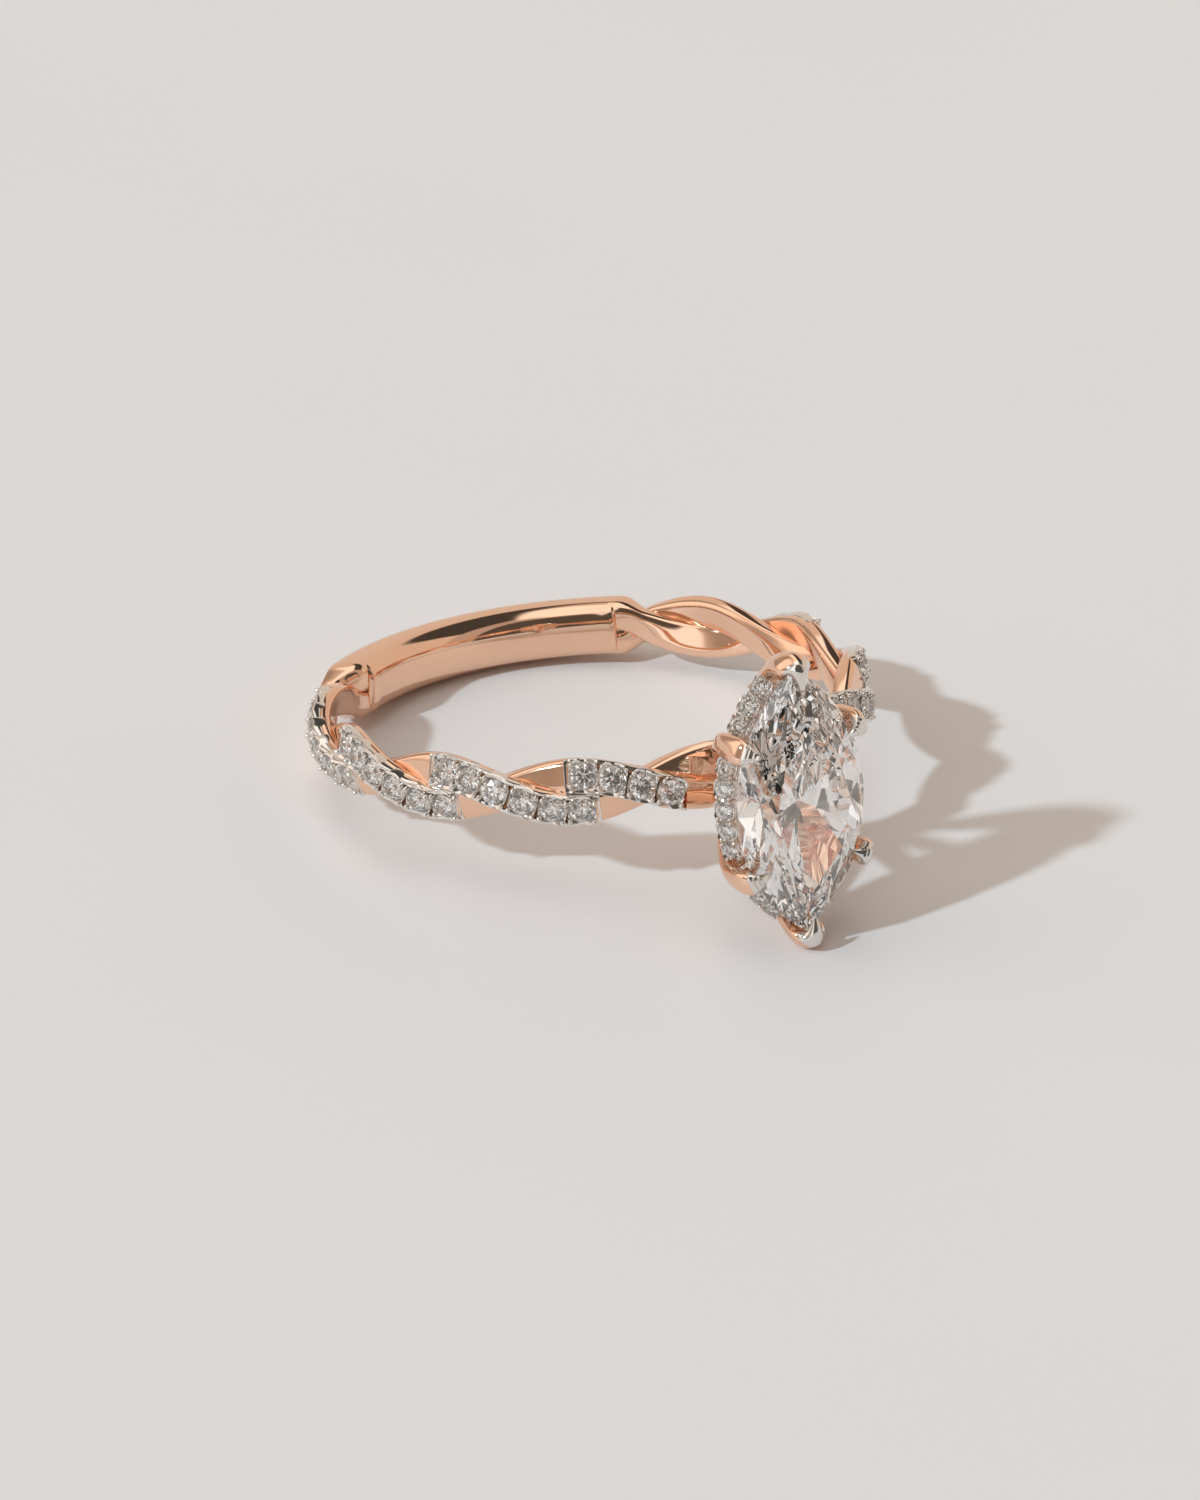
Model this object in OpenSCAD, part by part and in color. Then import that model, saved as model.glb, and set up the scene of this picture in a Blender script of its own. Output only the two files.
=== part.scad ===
// Twisted shank ring lying on its side: two gold strands twist round each other from a
// marquise head to a smooth bar at the back, with stones let into the outer passes.
// Sizes are in millimetres. The ring's own frame has the finger hole's axis along Z and the
// head along +X. The whole ring is then tilted as it lies, with the hole's centre at the origin.

/* [Smooth bar] */
// Diameter of the finger hole
hole_d = 16.5; // [15:0.25:19]
// Thickness of the bar across its wall
bar_t = 1.8; // [1.7:0.05:2]
// Width of the bar along the finger
bar_w = 2.02; // [1.96:0.02:2.4]
// Half of the angle that the bar covers
bar_half_angle = 37.3; // [32:0.5:41]
// Rounding of the bar's inner end corners
bar_end_round = 0.28; // [0.1:0.02:0.35]

/* [Twisted strands] */
// Rise of the strands' middle line over the finger hole's wall
strand_rise = 1; // [0.95:0.05:1.1]
// Swing of a strand in and out
swing_out = 0.32; // [0.28:0.02:0.36]
// Swing of a strand from side to side
swing_side = 0.535; // [0.5:0.01:0.56]
// Thickness of a strand
strand_t = 0.74; // [0.7:0.02:0.8]
// Width of a strand
strand_w = 1.2; // [1.16:0.02:1.3]
// Lean of a strand's outer face towards its own side
strand_lean = 16.5; // [10:0.5:22]
// Angle round the ring from one crossing to the next
pass_pitch = 29.5; // [29:0.25:30.5]
// Angle on either side of the head where the strands lie side by side
straight_half = 2.8; // [1:0.2:4]

/* [Band stones] */
// Diameter of a band stone
band_stone_d = 0.86; // [0.76:0.02:0.88]
// Gap between two band stones in a row
band_stone_gap = 0.11; // [0.1:0.01:0.16]
// Stones in each full pass
stones_in_pass = 6; // [4:1:6]
// Stones in the pass beside the head
stones_at_head = 4; // [2:1:4]
// Passes with stones on each side of the head
passes = 4; // [2:1:4]

/* [Head] */
// Height of the centre stone's girdle over the finger hole's wall
head_rise = 5.35; // [5:0.05:6.2]
// Length of the centre stone
stone_l = 9.16; // [8.6:0.1:10]
// Width of the centre stone
stone_w = 4.94; // [4.7:0.05:5.3]
// Height of the crown over the girdle
crown_h = 0.8; // [0.65:0.05:0.85]
// Depth of the pavilion under the girdle
pavilion_h = 2.1; // [1.8:0.1:2.2]
// Width of a claw's body
claw_w = 0.94; // [0.8:0.02:1]
// Thickness of a claw's body
claw_t = 0.56; // [0.5:0.02:0.6]

/* [Halo] */
// Diameter of a halo stone
halo_stone_d = 0.63; // [0.54:0.01:0.64]
// Gap between two halo stones
halo_stone_gap = 0.11; // [0.1:0.01:0.16]
// Halo stones between the side claws
halo_middle = 5; // [3:2:5]
// Drop of the rail's middle under the girdle
rail_drop = 1.05; // [0.95:0.05:1.25]
// Height of the rail
rail_h = 0.76; // [0.7:0.02:0.84]
// Depth of the rail behind its stones
rail_t = 0.6; // [0.52:0.02:0.7]
// Tilt of the rail's face, upwards from straight out
rail_tilt = 35; // [25:1:45]

/* [Fit] */
// Clearance between a stone and its seat
seat_gap = 0.03; // [0.02:0.005:0.04]
// Clearance between a claw and the halo stone beside it
claw_gap = 0.05; // [0.04:0.01:0.08]

/* [Hidden] */

gold = "#d9a98c";
diamond = "#e8eaee";
hole_r = hole_d / 2;
strand_r = hole_r + strand_rise;
strand_end = 180 - bar_half_angle;
girdle_x = hole_r + head_rise;
girdle_t = 0.1;
table_share = 0.58;
strand_step = 3.6;

// The stone's outline is two arcs that meet at its points, in the head's frame:
// x along the stone, y across it and z away from the finger, with z = 0 at the girdle.
arc_r = (pow(stone_l / 2, 2) + pow(stone_w / 2, 2)) / stone_w;
arc_half = asin(stone_l / 2 / arc_r);
function edge_x(a, out = 0) = (arc_r + out) * sin(a);
function edge_y(a, out = 0) = (arc_r + out) * cos(a) - arc_r + stone_w / 2;

// Places along the stone's edge, as angles of its arc. The side claws stand where the middle row
// of halo stones ends, and the rows towards the points hold as many stones as fit.
rail_out = -0.25;
halo_r = arc_r + rail_out + rail_t / 2 * cos(rail_tilt);
halo_step = (halo_stone_d + halo_stone_gap) / halo_r * 180 / PI;
beside_claw = (claw_w * 0.4 + halo_stone_d / 2 + claw_gap) / arc_r * 180 / PI;
claw_angle = (halo_middle - 1) / 2 * halo_step + beside_claw;
halo_start = claw_angle + beside_claw;
halo_last = arc_half - (claw_w * 0.65 + halo_stone_d / 2 + claw_gap) / arc_r * 180 / PI;
halo_ends = 1 + floor((halo_last - halo_start) / halo_step + 0.05);

// Round-cornered section of full width w and full thickness t, as [thickness, width] points.
// A power under 1 squares it, and its inner half may be rounder than its outer one. The first point
// stands at a share of a step past the thickness axis.
function squircle(t, w, sides, power = 0.55, inner_power = 0, first = 0.5) = [
    for (i = [0:sides - 1])
        let (
            a = 360 * (i + first) / sides,
            soft = cos(a) < 0 && inner_power > 0 ? inner_power : power
        )
            [
                t / 2 * sign(cos(a)) * pow(abs(cos(a)), soft),
                w / 2 * sign(sin(a)) * pow(abs(sin(a)), power)
            ]
];

// Skin over a list of sections with the same number of points each. A closed list joins its last
// section to its first, and an open one has flat ends.
module sweep(rings, closed = false) {
    n = len(rings[0]);
    count = len(rings);
    sides = [
        for (i = [0:count - (closed ? 1 : 2)], j = [0:n - 1])
            let (k = (j + 1) % n, here = i * n, next = (i + 1) % count * n)
                each [[here + j, here + k, next + k], [here + j, next + k, next + j]]
    ];
    ends = closed ? [] : [[for (j = [n - 1:-1:0]) j], [for (j = [0:n - 1]) (count - 1) * n + j]];
    polyhedron([for (r = rings) each r], concat(sides, ends), convexity = 10);
}

// A strand's place at angle f round the ring, f < 0 on the near side. The far side is the near
// side turned half a turn about the head's axis, so strand k continues there as the other one.
function side_of(f) = f < 0 ? 1 : -1;
function phase(f, k) =
    90 + 180 * (f < 0 ? k : 1 - k) + 180 / pass_pitch * max(0, abs(f) - straight_half);
function strand_radius(f, k) = strand_r + swing_out * cos(phase(f, k));
function strand_side(f, k) = side_of(f) * swing_side * sin(phase(f, k));
function strand_turn(f, k) = side_of(f) * strand_lean * sin(phase(f, k));

// A section point [thickness, width] turned by a lean, at radius r and height z, at angle f.
function on_ring(p, f, r, z, lean = 0) =
    let (q = r + p[0] * cos(lean) - p[1] * sin(lean))
        [q * cos(f), q * sin(f), z + p[0] * sin(lean) + p[1] * cos(lean)];

// The two strands' sections are half a step apart, so that no two of them lie in one plane.
module strand(k) {
    steps = ceil(2 * (strand_end + 2) / strand_step);
    reach = strand_end + 2 + (k == 0 ? 0 : strand_step / 2);
    section = squircle(strand_t, strand_w, 12);
    sweep([
        for (i = [0:steps + k])
            let (
                f = -reach + 2 * reach * i / (steps + k),
                r = strand_radius(f, k),
                z = strand_side(f, k)
            )
                [for (p = section) on_ring(p, f, r, z, strand_turn(f, k))]
    ]);
}

// How far a rounded end corner has drawn in at distance d from the end.
function corner(d) = d >= bar_end_round ? 0
    : bar_end_round - sqrt(pow(bar_end_round, 2) - pow(bar_end_round - max(d, 0), 2));

// The bar has an odd number of steps, so that a flat of its lower edge lies on the floor.
bar_steps = 15;
bar_step = 2 * bar_half_angle / bar_steps;
function bar_section(t) = squircle(t, bar_w, 16, 0.5, 0.85);

module smooth_bar() {
    near_end = [0, 0.04, 0.12, 0.28, 0.6];
    angles = concat(
        [for (d = near_end) 180 - bar_half_angle + d / hole_r * 180 / PI],
        [for (i = [1:bar_steps - 1]) 180 - bar_half_angle + i * bar_step],
        [for (i = [len(near_end) - 1:-1:0]) 180 + bar_half_angle - near_end[i] / hole_r * 180 / PI]
    );
    outer = hole_r + bar_t;
    sweep([
        for (f = angles)
            let (
                d = (bar_half_angle - abs(f - 180)) * PI / 180 * hole_r,
                inner = hole_r + corner(d)
            )
                [for (p = bar_section(outer - inner)) on_ring(p, f, (inner + outer) / 2, 0)]
    ]);
}

module head_frame() {
    translate([girdle_x, 0, 0])
        rotate([0, 90, 0])
            children();
}

// Point on a claw: share of the way out to the edge at angle a, then out and up from it.
function claw_point(a, share, out, up) = [
    share * edge_x(a) + out * sin(a),
    share * edge_y(a) + out * cos(a),
    up
];

// A claw follows rows of [share, out, up, width, thickness, turn]: share of the way from the head's
// axis to the stone's edge, then how far out and up, the section's size and its turn from upright.
// Its section starts a little off the middle, so that its faces aren't flat where the rail meets them.
module side_claw(a) {
    along = [cos(a), -sin(a), 0];
    sweep([
        for (row = side_rows)
            let (
                middle = claw_point(a, row[0], row[1], row[2]),
                outward = [sin(a) * cos(row[5]), cos(a) * cos(row[5]), sin(row[5])]
            )
                [for (p = squircle(row[4], row[3], 8, 0.7, 0, 0.45)) middle + p[0] * outward + p[1] * along]
    ]);
}

shank_top = strand_r - girdle_x + strand_t / 2;
inside = claw_t / 2 + 0.04;
tip_out = inside + 0.16;
tip_up = -0.15;
tip_back = 0.6;
side_rows = [
    [0.28, 0, shank_top - 0.3, claw_w * 0.8, claw_t, -20],
    [0.5, 0, shank_top + 0.75, claw_w * 0.8, claw_t, -35],
    [0.82, 0.1, -rail_drop - 0.9, claw_w * 0.82, claw_t, -30],
    [1, 0.2, -rail_drop, claw_w * 0.8, claw_t, -14],
    [1, inside, -0.1, claw_w * 0.96, claw_t, 0],
    [1, inside - 0.07, 0.3, claw_w * 0.94, claw_t * 0.86, 30],
    [1, inside - 0.25, 0.52, claw_w * 0.7, claw_t * 0.6, 55],
    [1, -0.12, 0.58, claw_w * 0.42, claw_t * 0.45, 80],
    [1, -0.36, 0.5, claw_w * 0.16, claw_t * 0.2, 105]
];
tip_rows = [
    [0.1, 0, shank_top - 0.3, claw_w * 0.8, claw_t, -30],
    [0.36, 0, shank_top + 0.75, claw_w * 0.85, claw_t, -48],
    [0.78, 0, -rail_drop - 0.9, claw_w * 1.1, claw_t, -42],
    [0.98, 0.1, -rail_drop, claw_w * 1.1, claw_t, -25],
    [1, tip_out, tip_up, claw_w * 1.35, claw_t * 1.05, 0],
    [1, tip_out - 0.06, 0.28, claw_w * 1.2, claw_t * 0.95, 25],
    [1, tip_out - 0.24, 0.5, claw_w * 0.8, claw_t * 0.7, 50],
    [1, -0.15, 0.56, claw_w * 0.5, claw_t * 0.5, 80],
    [1, -0.55, 0.55, claw_w * 0.2, claw_t * 0.2, 105]
];

module claws() {
    for (turn = [0, 180], flip = [0, 1])
        rotate([0, 0, turn])
            mirror([flip, 0, 0])
                side_claw(claw_angle);
    for (turn = [0, 180])
        rotate([0, 0, turn])
            translate([stone_l / 2, 0, 0])
                rotate([0, 0, -90])
                    translate([0, -edge_y(0), 0])
                        tip_claw();
}

// A tip claw is worked out straight along y, then moved to the stone's point. Its sides are drawn
// back, so that it stands round the point.
module tip_claw() {
    sweep([
        for (row = tip_rows)
            let (
                middle = [0, stone_w / 2 - (1 - row[0]) * stone_l / 2 + row[1], row[2]],
                outward = [0, cos(row[5]), sin(row[5])]
            )
                [
                    for (p = squircle(row[4], row[3], 8, 0.7))
                        middle + (p[0] - tip_back * abs(p[1])) * outward + [p[1], 0, 0]
                ]
    ]);
}

// The rail under the girdle follows the stone's outline and is mitred at its two points. Its face
// stands a little more upright towards the points, by rail_turn at share s of the way there.
rail_end = arc_half - 8;
rail_turn = 3;
function rail_section(s) = [
    for (p = squircle(rail_t, rail_h, 8, 0.6))
        let (tilt = rail_tilt - rail_turn * s * s)
            [
                rail_out + p[0] * cos(tilt) - p[1] * sin(tilt),
                -rail_drop + p[0] * sin(tilt) + p[1] * cos(tilt)
            ]
];
function point_x(out) = sqrt(pow(arc_r + out, 2) - pow(arc_r - stone_w / 2, 2));

// One side of the rail from point to point, for s = 1 and s = -1.
function rail_side(s) = [
    for (i = [6:-1:-6])
        let (a = i * rail_end / 6)
            [for (p = rail_section(abs(i) / 6)) [s * edge_x(a, p[0]), s * edge_y(a, p[0]), p[1]]]
];
function rail_point(s) = [for (p = rail_section(1.1)) [-s * point_x(p[0]), 0, p[1]]];

module rail() {
    sweep([for (s = [1, -1]) each concat(rail_side(s), [rail_point(s)])], closed = true);
}

// A small cut stone with its girdle at z = 0: a table, eight crown facets and a pavilion.
module cut_stone(d) {
    girdle = 0.02;
    hull() {
        translate([0, 0, girdle])
            cylinder(d = table_share * d, h = 0.14 * d, $fn = 8);
        rotate(22.5)
            translate([0, 0, -girdle])
                cylinder(d = d, h = 2 * girdle, $fn = 8);
        translate([0, 0, -0.43 * d])
            cylinder(d1 = 0, d2 = 0.1 * d, h = 0.05 * d, $fn = 8);
    }
}

// The room cut for a small stone: its own shape with clearance, open above the girdle.
module seat(d) {
    hull() {
        rotate(22.5)
            translate([0, 0, -0.05])
                cylinder(d = d + 2 * seat_gap / cos(22.5), h = 0.55, $fn = 8);
        translate([0, 0, -0.43 * d - 2 * seat_gap])
            cylinder(d1 = 0, d2 = 0.1 * d, h = 0.05 * d, $fn = 8);
    }
}

// Each pass has its middle where its strand lies farthest out. Even passes belong to strand 0.
stone_step = (band_stone_d + band_stone_gap) / (strand_r + strand_t / 2) * 180 / PI;
function pass_middle(pass) = straight_half + (pass - 0.5) * pass_pitch;

// Places of the near side's stones, as [angle, strand]. A row beside the head starts farther off.
function band_places() = [
    for (pass = [1:passes])
        for (i = [(pass == 1 ? stones_in_pass - stones_at_head : 0):stones_in_pass - 1])
            [-pass_middle(pass) - (i - (stones_in_pass - 1) / 2) * stone_step, pass % 2]
];

band_sink = 0.09;
module at_band_places() {
    for (place = band_places())
        let (f = place[0], k = place[1])
            rotate([0, 0, f])
                translate([strand_radius(f, k), 0, strand_side(f, k)])
                    rotate([0, 90 - strand_turn(f, k), 0])
                        translate([0, 0, strand_t / 2 - band_sink])
                            children();
}

// The halo's stones on one side: a row between the side claws and one towards each point.
halo_angles = concat(
    [for (i = [0:halo_middle - 1]) (i - (halo_middle - 1) / 2) * halo_step],
    [for (s = [-1, 1], i = [0:halo_ends - 1]) s * (halo_start + i * halo_step)]
);

module at_halo_places() {
    head_frame()
        for (turn = [0, 180], a = halo_angles)
            rotate([0, 0, turn])
                translate([edge_x(a, rail_out), edge_y(a, rail_out), -rail_drop])
                    rotate([0, 0, -a])
                        rotate([rail_tilt - 90, 0, 0])
                            translate([0, 0, rail_t / 2 - 0.08])
                                children();
}

// Half a turn about the head's axis takes the near side to the far side.
module far_side() {
    rotate([180, 0, 0])
        children();
}

// The ring lies on its lower tip claw and on the bar's lower edge, so both are at one height.
tip_corner = squircle(tip_rows[4][4], tip_rows[4][3], 8, 0.7)[0];
tip_reach = stone_l / 2 + tip_out + tip_corner[0] - tip_back * tip_corner[1];
bar_foot = bar_section(bar_t)[12];
bar_foot_r = (hole_r + bar_t / 2 + bar_foot[0]) * cos(bar_step / 2);
rest_tilt = atan((tip_reach + bar_foot[1]) / (girdle_x + tip_up + bar_foot_r));
module as_it_lies() {
    rotate([0, -rest_tilt, 0])
        children();
}

module shank_and_setting() {
    color(gold)
        as_it_lies()
            union() {
                smooth_bar();
                difference() {
                    union() {
                        strand(0);
                        strand(1);
                    }
                    at_band_places()
                        seat(band_stone_d);
                    far_side()
                        at_band_places()
                            seat(band_stone_d);
                }
                difference() {
                    head_frame()
                        rail();
                    at_halo_places()
                        seat(halo_stone_d);
                }
                head_frame()
                    claws();
            }
}

module centre_stone() {
    outline = [
        for (turn = [0, 1], i = [0:9]) let (a = -arc_half + i * arc_half / 5)
            (turn ? -1 : 1) * [edge_x(a), edge_y(a)]
    ];
    color(diamond)
        as_it_lies()
            head_frame()
                hull() {
                    translate([0, 0, -girdle_t / 2])
                        linear_extrude(girdle_t)
                            polygon(outline);
                    translate([0, 0, girdle_t / 2 + crown_h * 0.6])
                        linear_extrude(0.01)
                            polygon([for (p = outline) p * (1 - (1 - table_share) * 0.52)]);
                    translate([0, 0, girdle_t / 2 + crown_h - 0.01])
                        linear_extrude(0.01)
                            polygon([for (p = outline) p * table_share]);
                    translate([0, 0, -girdle_t / 2 - pavilion_h])
                        cylinder(d = 0.06, h = 0.01, $fn = 4);
                }
}

module halo_stones() {
    color(diamond)
        as_it_lies()
            at_halo_places()
                cut_stone(halo_stone_d);
}

module band_stones_near() {
    color(diamond)
        as_it_lies()
            at_band_places()
                cut_stone(band_stone_d);
}

module band_stones_far() {
    color(diamond)
        as_it_lies()
            far_side()
                at_band_places()
                    cut_stone(band_stone_d);
}

shank_and_setting();
centre_stone();
halo_stones();
band_stones_near();
band_stones_far();
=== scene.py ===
"""Looks of the twisted shank ring: rose gold strands with set stones, and a marquise head.

The pieces are built in millimetres in the ring's own frame, with the finger axis along Z and the
head along +X. They are then tilted as the ring lies and scaled to metres, as the CAD model is.
"""

from __future__ import annotations

import logging
import math
from collections.abc import Iterable, Sequence
from dataclasses import astuple, dataclass
from enum import Enum

import bmesh
import bpy
from bmesh.types import BMEdge, BMesh, BMVert
from mathutils import Matrix, Vector

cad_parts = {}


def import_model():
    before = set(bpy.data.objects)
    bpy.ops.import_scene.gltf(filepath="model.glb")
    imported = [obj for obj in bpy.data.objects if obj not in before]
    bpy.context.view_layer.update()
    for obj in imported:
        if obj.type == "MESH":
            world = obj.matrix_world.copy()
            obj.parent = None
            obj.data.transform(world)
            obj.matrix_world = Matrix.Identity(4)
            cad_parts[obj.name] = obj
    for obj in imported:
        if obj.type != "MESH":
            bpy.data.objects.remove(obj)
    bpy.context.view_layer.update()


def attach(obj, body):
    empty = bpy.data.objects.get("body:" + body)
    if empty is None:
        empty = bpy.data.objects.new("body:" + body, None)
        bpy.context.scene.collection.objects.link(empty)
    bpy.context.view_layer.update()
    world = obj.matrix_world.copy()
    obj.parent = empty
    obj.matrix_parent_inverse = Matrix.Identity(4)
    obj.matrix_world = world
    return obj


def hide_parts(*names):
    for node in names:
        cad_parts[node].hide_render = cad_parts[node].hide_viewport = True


LOG = logging.getLogger("twisted_shank_ring")
MM = 0.001
# How far the finger axis leans as the ring lies, in degrees.
REST_TILT = 10.2175
# Two points closer than this are one, in millimetres.
TINY = 1e-6
# Material numbers of the faces of a piece in both metals.
GOLD, WHITE = 0, 1
METAL_NODE = "shank_and_setting"

Tree = bpy.types.NodeTree
Socket = bpy.types.NodeSocket
Colour = tuple[float, float, float, float]


class Side(Enum):
    """The half of the ring on either side of the head, in degrees about the head's axis."""

    NEAR = 0
    FAR = 180

    def turn(self) -> Matrix:
        """The turn that takes the near side here."""
        return Matrix.Rotation(math.radians(self.value), 4, "X")


class Slot(Enum):
    """The record's material slots."""

    GOLD = "rose_gold"
    STONE = "clear_stone"


# ---- Materials ----


def linear(hex_colour: str) -> Colour:
    """Turns an sRGB hex colour to linear values.

    Args:
        hex_colour: The colour as "#rrggbb".

    Returns:
        Red, green, blue and an alpha of 1.
    """
    parts = [int(hex_colour[i : i + 2], 16) / 255 for i in (1, 3, 5)]
    red, green, blue = (c / 12.92 if c <= 0.04045 else ((c + 0.055) / 1.055) ** 2.4 for c in parts)
    return red, green, blue, 1.0


def add_node(
    tree: Tree, kind: str, inputs: dict | None = None, **settings: object
) -> bpy.types.Node:
    """Adds a node with its settings and links.

    Args:
        tree: The node tree that gets the node.
        kind: The node's type name.
        inputs: Socket names or numbers with a value, or with the output socket that feeds them.
        **settings: Attributes of the node.

    Returns:
        The new node.
    """
    node = tree.nodes.new(kind)
    for name, value in settings.items():
        setattr(node, name, value)
    for socket, value in (inputs or {}).items():
        if isinstance(value, Socket):
            tree.links.new(value, node.inputs[socket])
        else:
            node.inputs[socket].default_value = value
    return node


def new_material(
    name: str, constants: dict[str, float]
) -> tuple[bpy.types.Material, Tree, bpy.types.Node]:
    """Makes a material with one Principled shader.

    Args:
        name: The material's name.
        constants: The shader's values that are the same all over the surface.

    Returns:
        The material, its node tree and its shader.
    """
    material = bpy.data.materials.new(name)
    material.use_nodes = True
    shader = material.node_tree.nodes["Principled BSDF"]
    for socket, value in constants.items():
        shader.inputs[socket].default_value = value
    return material, material.node_tree, shader


def two_toned(
    tree: Tree,
    shader: bpy.types.Node,
    tones: tuple[str, str],
    size_mm: float,
    detail: float = 2.0,
    rough: float = 0.5,
) -> tuple[Socket, Socket]:
    """Colours a surface in two close tones, in soft patches of a real size.

    Args:
        tree: The material's node tree.
        shader: Its shader.
        tones: Both tones as sRGB hex.
        size_mm: The patches' size in millimetres.
        detail: How many finer layers the patches have.
        rough: How strong the finer layers are.

    Returns:
        The place on the piece, and the share of the second tone there.
    """
    place = add_node(tree, "ShaderNodeTexCoord").outputs["Object"]
    patches = add_node(
        tree,
        "ShaderNodeTexNoise",
        {"Vector": place, "Scale": 1 / (size_mm * MM), "Detail": detail, "Roughness": rough},
    ).outputs["Fac"]
    colours = {0: patches, 6: linear(tones[0]), 7: linear(tones[1])}
    tint = add_node(tree, "ShaderNodeMix", colours, data_type="RGBA")
    tree.links.new(tint.outputs[2], shader.inputs["Base Color"])
    return place, patches


@dataclass(frozen=True)
class PolishedMetal:
    """A cast precious metal, ground and polished with rouge to a mirror.

    The polish leaves a faint cloudiness where the mop has run, and the surface swims a little, so
    that reflections bend. Both patterns are set in millimetres.
    """

    name: str
    tones: tuple[str, str]
    roughness: float
    haze: float = 0.3
    cloud_mm: float = 2.5
    swim_mm: float = 1.6
    swim_depth: float = 0.004

    def build(self) -> bpy.types.Material:
        """Makes the material.

        Returns:
            The material.
        """
        material, tree, shader = new_material(self.name, {"Metallic": 1.0})
        place, clouds = two_toned(tree, shader, self.tones, self.cloud_mm, 3.0, 0.6)
        low, high = (self.roughness * (1 + sign * self.haze) for sign in (-1, 1))
        haze = add_node(
            tree, "ShaderNodeMapRange", {"Value": clouds, "To Min": low, "To Max": high}
        )
        swim = add_node(
            tree,
            "ShaderNodeTexNoise",
            {"Vector": place, "Scale": 1 / (self.swim_mm * MM), "Detail": 1.0},
        )
        bump = add_node(
            tree,
            "ShaderNodeBump",
            {"Height": swim.outputs["Fac"], "Strength": 1.0, "Distance": self.swim_depth * MM},
        )
        tree.links.new(haze.outputs["Result"], shader.inputs["Roughness"])
        tree.links.new(bump.outputs["Normal"], shader.inputs["Normal"])
        return material


@dataclass(frozen=True)
class CutDiamond:
    """A clear stone with lapped flat facets, which bends light strongly."""

    name: str
    tones: tuple[str, str]
    tint_mm: float = 3.0
    ior: float = 2.42

    def build(self) -> bpy.types.Material:
        """Makes the material.

        Returns:
            The material.
        """
        constants = {"IOR": self.ior, "Transmission Weight": 1.0, "Roughness": 0.0}
        material, tree, shader = new_material(self.name, constants)
        two_toned(tree, shader, self.tones, self.tint_mm)
        return material


@dataclass(frozen=True)
class PaintedBoard:
    """A sheet of matt painted board, as a studio table has, with a slight eggshell sheen."""

    name: str
    tones: tuple[str, str]
    roughness: float = 0.62
    mottle_mm: float = 30.0

    def build(self) -> bpy.types.Material:
        """Makes the material.

        Returns:
            The material.
        """
        material, tree, shader = new_material(self.name, {"Roughness": self.roughness})
        two_toned(tree, shader, self.tones, self.mottle_mm)
        return material


# Rose gold, a copper alloy: a warm pink mirror that shows the room's light and dark walls.
ROSE_GOLD = PolishedMetal("polished_rose_gold", ("#f7ceb3", "#f3c9ad"), 0.06)
# Rhodium plate round the stones: a paler and hazier mirror, so that the settings look white.
RHODIUM = PolishedMetal("rhodium_plated_gold", ("#ebe7e2", "#e3ded9"), 0.09, swim_mm=0.5)
# Brilliant-cut diamond: its facets break the room into small bright and dark patches.
DIAMOND = CutDiamond("cut_diamond", ("#fbfaf8", "#f6f5f6"))
# Painted board: a pale, even floor that takes the soft shadows.
PALE_BOARD = PaintedBoard("pale_board", ("#e4e1e0", "#e2dedd"))


# ---- Mesh helpers ----


def lying() -> Matrix:
    """The matrix from the ring's frame in millimetres to the file's frame in metres."""
    return Matrix.Scale(MM, 4) @ Matrix.Rotation(math.radians(-REST_TILT), 4, "Y")


def signed_power(value: float, power: float) -> float:
    """Raises a number's size to a power and keeps its sign."""
    return math.copysign(abs(value) ** power, value)


def mixed(start: float, end: float, share: float) -> float:
    """The value a share of the way from one to another."""
    return start + (end - start) * share


def rounded_off(radius: float, depth: float) -> float:
    """How far a rounded edge lies back, at a depth from the end that it rounds."""
    return radius - math.sqrt(max(0.0, radius**2 - max(0.0, radius - depth) ** 2))


def frame_matrix(origin: Vector, x: Vector, y: Vector) -> Matrix:
    """A matrix with the given origin and X and Y axes, which may carry a scale."""
    z = x.cross(y).normalized()
    return Matrix.Translation(origin) @ Matrix((x, y, z)).transposed().to_4x4()


@dataclass(frozen=True)
class Profile:
    """A round-cornered section of half-width 1, with its thickness along X and width along Y.

    A power of 1 makes it a circle and a smaller one squarer. The inner power is for the thickness
    on the finger's side.
    """

    sides: int
    power: float = 0.55
    inner_power: float | None = None

    def draw(self, bm: BMesh) -> list[BMVert]:
        """Makes the section.

        Args:
            bm: The mesh that gets it.

        Returns:
            Its points in order.
        """
        loop = bmesh.ops.create_circle(bm, cap_ends=False, segments=self.sides, radius=1.0)["verts"]
        for i, vert in enumerate(loop):
            angle = math.tau * (i + 0.5) / self.sides
            inside = self.inner_power and math.cos(angle) < 0
            thick = signed_power(math.cos(angle), self.inner_power if inside else self.power)
            vert.co = Vector((thick, signed_power(math.sin(angle), self.power), 0))
        return loop


def edges_of(loop: Sequence[BMVert]) -> list[BMEdge]:
    """The edges that join the points of one loop."""
    members = set(loop)
    return list(dict.fromkeys(e for v in loop for e in v.link_edges if set(e.verts) <= members))


def extruded(bm: BMesh, edges: Sequence[BMEdge]) -> tuple[list[BMVert], list[BMEdge]]:
    """Extrudes a loop of edges in place.

    Args:
        bm: The mesh.
        edges: The loop.

    Returns:
        The new loop's points and edges.
    """
    made = bmesh.ops.extrude_edge_only(bm, edges=edges)["geom"]
    fresh = [g for g in made if isinstance(g, BMVert)]
    members = set(fresh)
    return fresh, [g for g in made if isinstance(g, BMEdge) and set(g.verts) <= members]


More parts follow.
